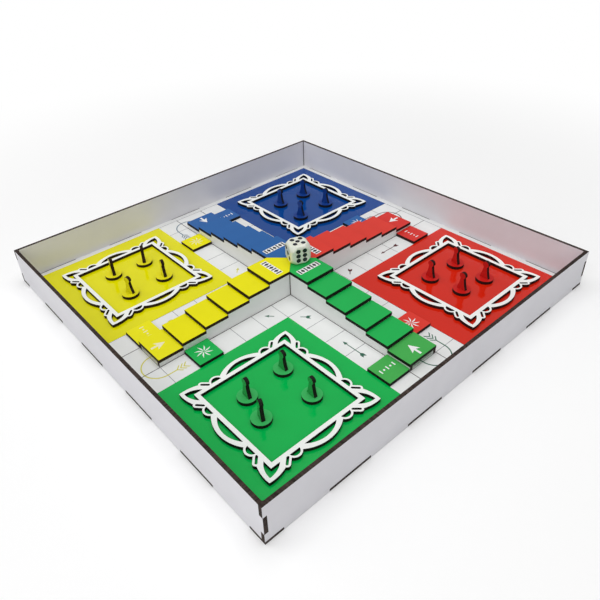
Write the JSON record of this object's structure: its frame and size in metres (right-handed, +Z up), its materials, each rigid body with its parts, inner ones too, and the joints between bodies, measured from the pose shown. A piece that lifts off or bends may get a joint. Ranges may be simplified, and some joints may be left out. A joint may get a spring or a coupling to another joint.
{
  "type": "ludo board tray",
  "caption": "Square ludo board tray of thin laminated sheet with stepped tracks climbing to a raised home platform, ornamental yard frames, two-piece pawns and a die.",
  "frame": {"origin": "middle of the tray's underside", "axes": "+Z up out of the open top, X and Y along the walls, green yard at -X -Y, yellow at -X +Y, blue at +X +Y, red at +X -Y"},
  "size_m": [0.305, 0.305, 0.039],
  "materials": {
    "white_sheet": "satin white laminate with burnt edges",
    "frame_white": "satin white laminate with burnt edges",
    "print_green": "glossy print",
    "sheet_green": "glossy laminate with burnt edges",
    "print_yellow": "glossy print",
    "sheet_yellow": "glossy laminate with burnt edges",
    "print_blue": "glossy print",
    "sheet_blue": "glossy laminate with burnt edges",
    "print_red": "glossy print",
    "sheet_red": "glossy laminate with burnt edges",
    "ivory_plastic": "polished, dark pips"
  },
  "bodies": {
    "tray": {"base_panel": "white_sheet", "wall_front": "white_sheet", "wall_left": "white_sheet", "wall_back": "white_sheet", "wall_right": "white_sheet", "rails_along_y": "white_sheet", "rails_along_x": "white_sheet", "yard_sheet_green": "print_green", "frame_green": "frame_white", "lane_tiles_green": "sheet_green", "treads_green": "sheet_green", "home_plate_green": "sheet_green", "yard_sheet_yellow": "print_yellow", "frame_yellow": "frame_white", "lane_tiles_yellow": "sheet_yellow", "treads_yellow": "sheet_yellow", "home_plate_yellow": "sheet_yellow", "yard_sheet_blue": "print_blue", "frame_blue": "frame_white", "lane_tiles_blue": "sheet_blue", "treads_blue": "sheet_blue", "home_plate_blue": "sheet_blue", "yard_sheet_red": "print_red", "frame_red": "frame_white", "lane_tiles_red": "sheet_red", "treads_red": "sheet_red", "home_plate_red": "sheet_red"},
    "pawn_green_1": {"pawn_foot_green_1": "sheet_green", "pawn_figure_green_1": "sheet_green"},
    "pawn_green_2": {"pawn_foot_green_2": "sheet_green", "pawn_figure_green_2": "sheet_green"},
    "pawn_green_3": {"pawn_foot_green_3": "sheet_green", "pawn_figure_green_3": "sheet_green"},
    "pawn_green_4": {"pawn_foot_green_4": "sheet_green", "pawn_figure_green_4": "sheet_green"},
    "pawn_yellow_1": {"pawn_foot_yellow_1": "sheet_yellow", "pawn_figure_yellow_1": "sheet_yellow"},
    "pawn_yellow_2": {"pawn_foot_yellow_2": "sheet_yellow", "pawn_figure_yellow_2": "sheet_yellow"},
    "pawn_yellow_3": {"pawn_foot_yellow_3": "sheet_yellow", "pawn_figure_yellow_3": "sheet_yellow"},
    "pawn_yellow_4": {"pawn_foot_yellow_4": "sheet_yellow", "pawn_figure_yellow_4": "sheet_yellow"},
    "pawn_blue_1": {"pawn_foot_blue_1": "sheet_blue", "pawn_figure_blue_1": "sheet_blue"},
    "pawn_blue_2": {"pawn_foot_blue_2": "sheet_blue", "pawn_figure_blue_2": "sheet_blue"},
    "pawn_blue_3": {"pawn_foot_blue_3": "sheet_blue", "pawn_figure_blue_3": "sheet_blue"},
    "pawn_blue_4": {"pawn_foot_blue_4": "sheet_blue", "pawn_figure_blue_4": "sheet_blue"},
    "pawn_red_1": {"pawn_foot_red_1": "sheet_red", "pawn_figure_red_1": "sheet_red"},
    "pawn_red_2": {"pawn_foot_red_2": "sheet_red", "pawn_figure_red_2": "sheet_red"},
    "pawn_red_3": {"pawn_foot_red_3": "sheet_red", "pawn_figure_red_3": "sheet_red"},
    "pawn_red_4": {"pawn_foot_red_4": "sheet_red", "pawn_figure_red_4": "sheet_red"},
    "die": {"die": "ivory_plastic"}
  },
  "joints": [
    {"name": "lift_green_1", "type": "slide", "parent": "tray", "child": "pawn_green_1", "axis": [0, 0, 1], "range_m": [0, 0.04]},
    {"name": "lift_green_2", "type": "slide", "parent": "tray", "child": "pawn_green_2", "axis": [0, 0, 1], "range_m": [0, 0.04]},
    {"name": "lift_green_3", "type": "slide", "parent": "tray", "child": "pawn_green_3", "axis": [0, 0, 1], "range_m": [0, 0.04]},
    {"name": "lift_green_4", "type": "slide", "parent": "tray", "child": "pawn_green_4", "axis": [0, 0, 1], "range_m": [0, 0.04]},
    {"name": "lift_yellow_1", "type": "slide", "parent": "tray", "child": "pawn_yellow_1", "axis": [0, 0, 1], "range_m": [0, 0.04]},
    {"name": "lift_yellow_2", "type": "slide", "parent": "tray", "child": "pawn_yellow_2", "axis": [0, 0, 1], "range_m": [0, 0.04]},
    {"name": "lift_yellow_3", "type": "slide", "parent": "tray", "child": "pawn_yellow_3", "axis": [0, 0, 1], "range_m": [0, 0.04]},
    {"name": "lift_yellow_4", "type": "slide", "parent": "tray", "child": "pawn_yellow_4", "axis": [0, 0, 1], "range_m": [0, 0.04]},
    {"name": "lift_blue_1", "type": "slide", "parent": "tray", "child": "pawn_blue_1", "axis": [0, 0, 1], "range_m": [0, 0.04]},
    {"name": "lift_blue_2", "type": "slide", "parent": "tray", "child": "pawn_blue_2", "axis": [0, 0, 1], "range_m": [0, 0.04]},
    {"name": "lift_blue_3", "type": "slide", "parent": "tray", "child": "pawn_blue_3", "axis": [0, 0, 1], "range_m": [0, 0.04]},
    {"name": "lift_blue_4", "type": "slide", "parent": "tray", "child": "pawn_blue_4", "axis": [0, 0, 1], "range_m": [0, 0.04]},
    {"name": "lift_red_1", "type": "slide", "parent": "tray", "child": "pawn_red_1", "axis": [0, 0, 1], "range_m": [0, 0.04]},
    {"name": "lift_red_2", "type": "slide", "parent": "tray", "child": "pawn_red_2", "axis": [0, 0, 1], "range_m": [0, 0.04]},
    {"name": "lift_red_3", "type": "slide", "parent": "tray", "child": "pawn_red_3", "axis": [0, 0, 1], "range_m": [0, 0.04]},
    {"name": "lift_red_4", "type": "slide", "parent": "tray", "child": "pawn_red_4", "axis": [0, 0, 1], "range_m": [0, 0.04]},
    {"name": "lift_die", "type": "slide", "parent": "tray", "child": "die", "axis": [0, 0, 1], "range_m": [0, 0.04]}
  ]
}
